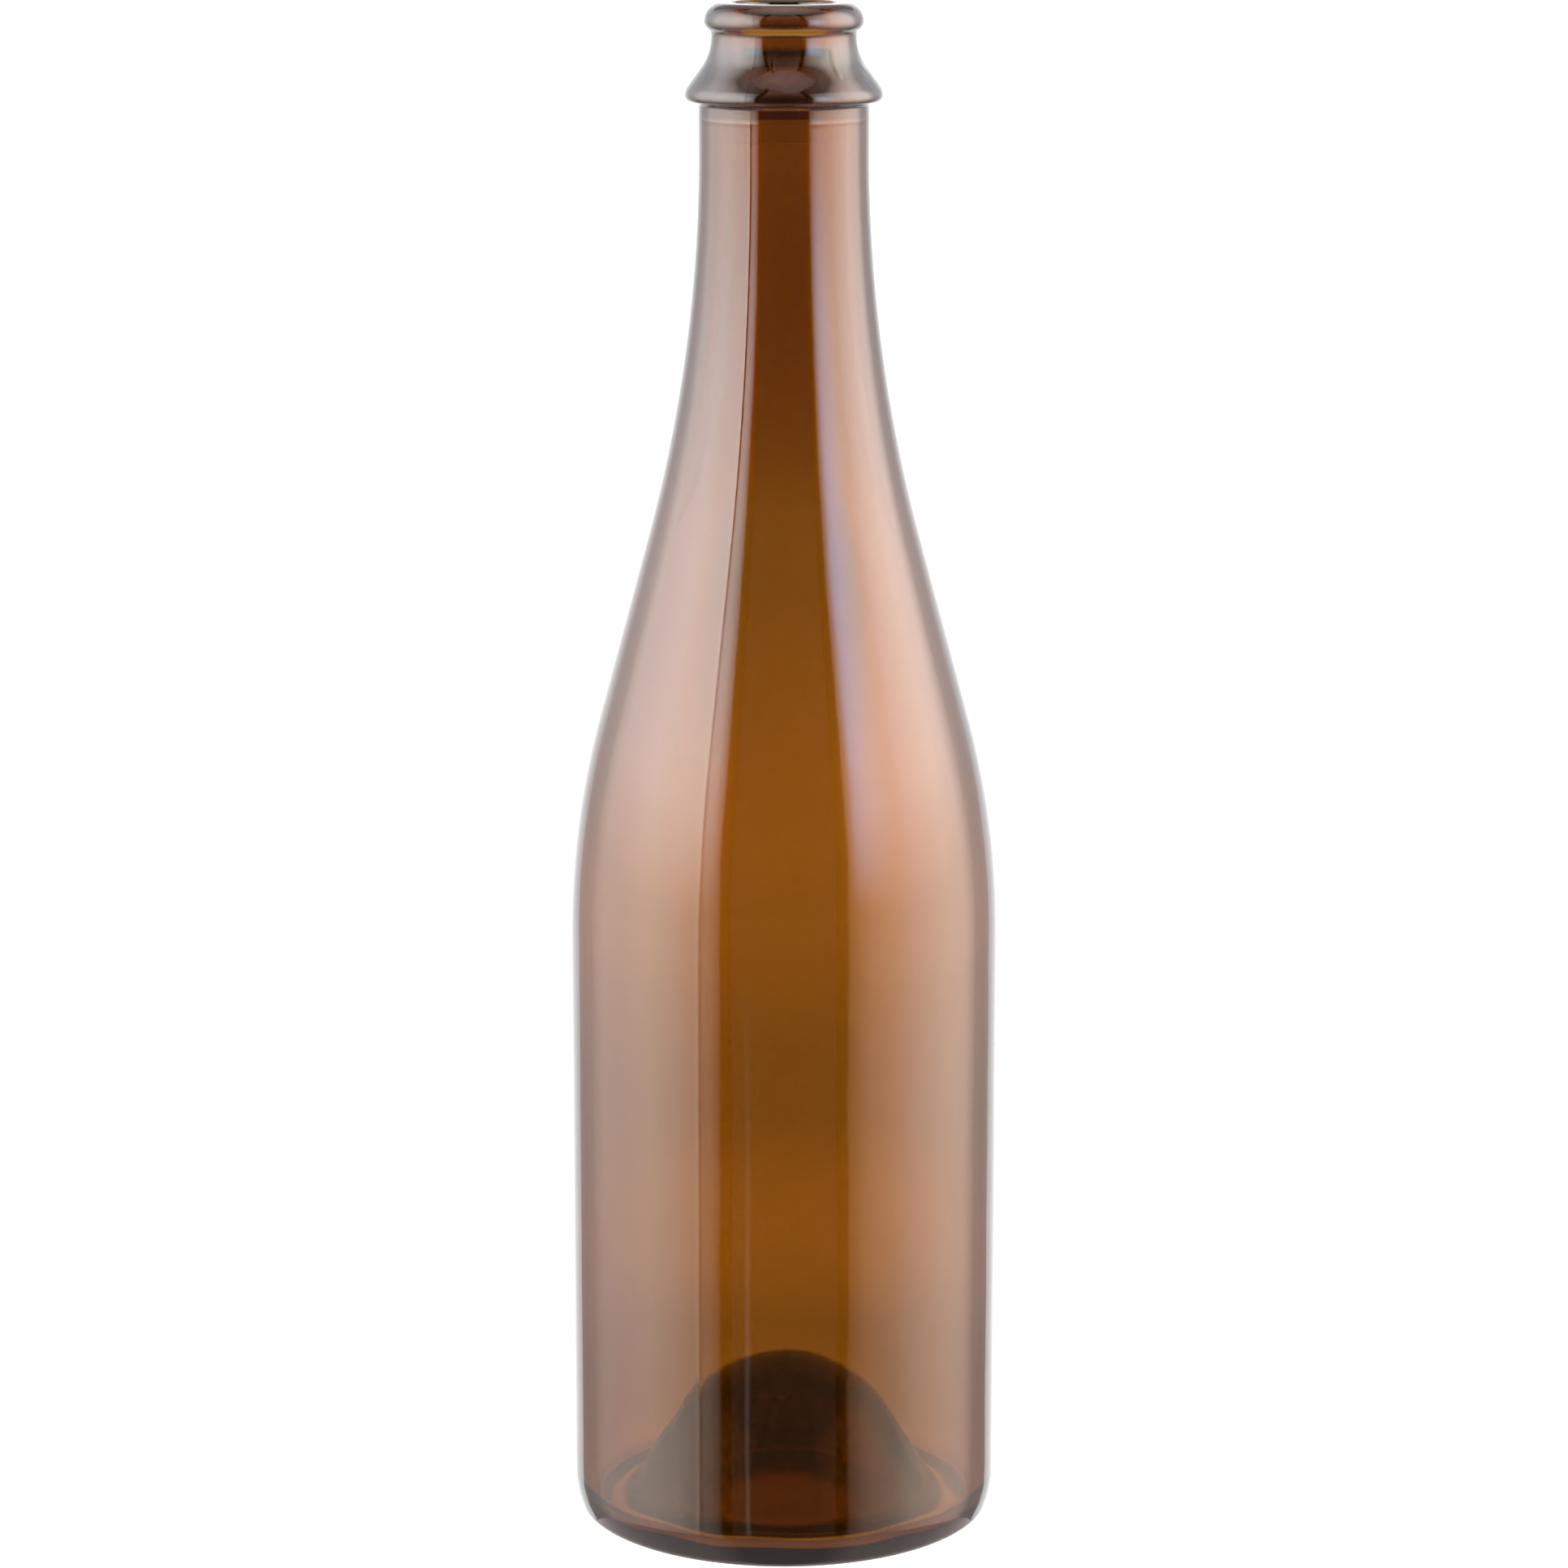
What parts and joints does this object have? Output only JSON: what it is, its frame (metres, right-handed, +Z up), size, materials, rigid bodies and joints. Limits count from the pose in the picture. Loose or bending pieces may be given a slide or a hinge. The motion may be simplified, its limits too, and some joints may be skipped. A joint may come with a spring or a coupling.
{
  "type": "champagne-style beer bottle",
  "caption": "One-piece amber glass bottle with a crown finish, a skirted collar under the lip, long sloping shoulders and a deep push-up in the base.",
  "frame": {"origin": "centre of the base, on the surface that the bottle stands on", "axes": "+Z up along the bottle's axis, from the base to the mouth"},
  "size_m": [0.073, 0.073, 0.2605],
  "materials": {
    "amber_glass": "smooth, clear amber soda-lime glass, fire-polished at the lip"
  },
  "bodies": {
    "root": {"bottle": "amber_glass"}
  },
  "joints": []
}
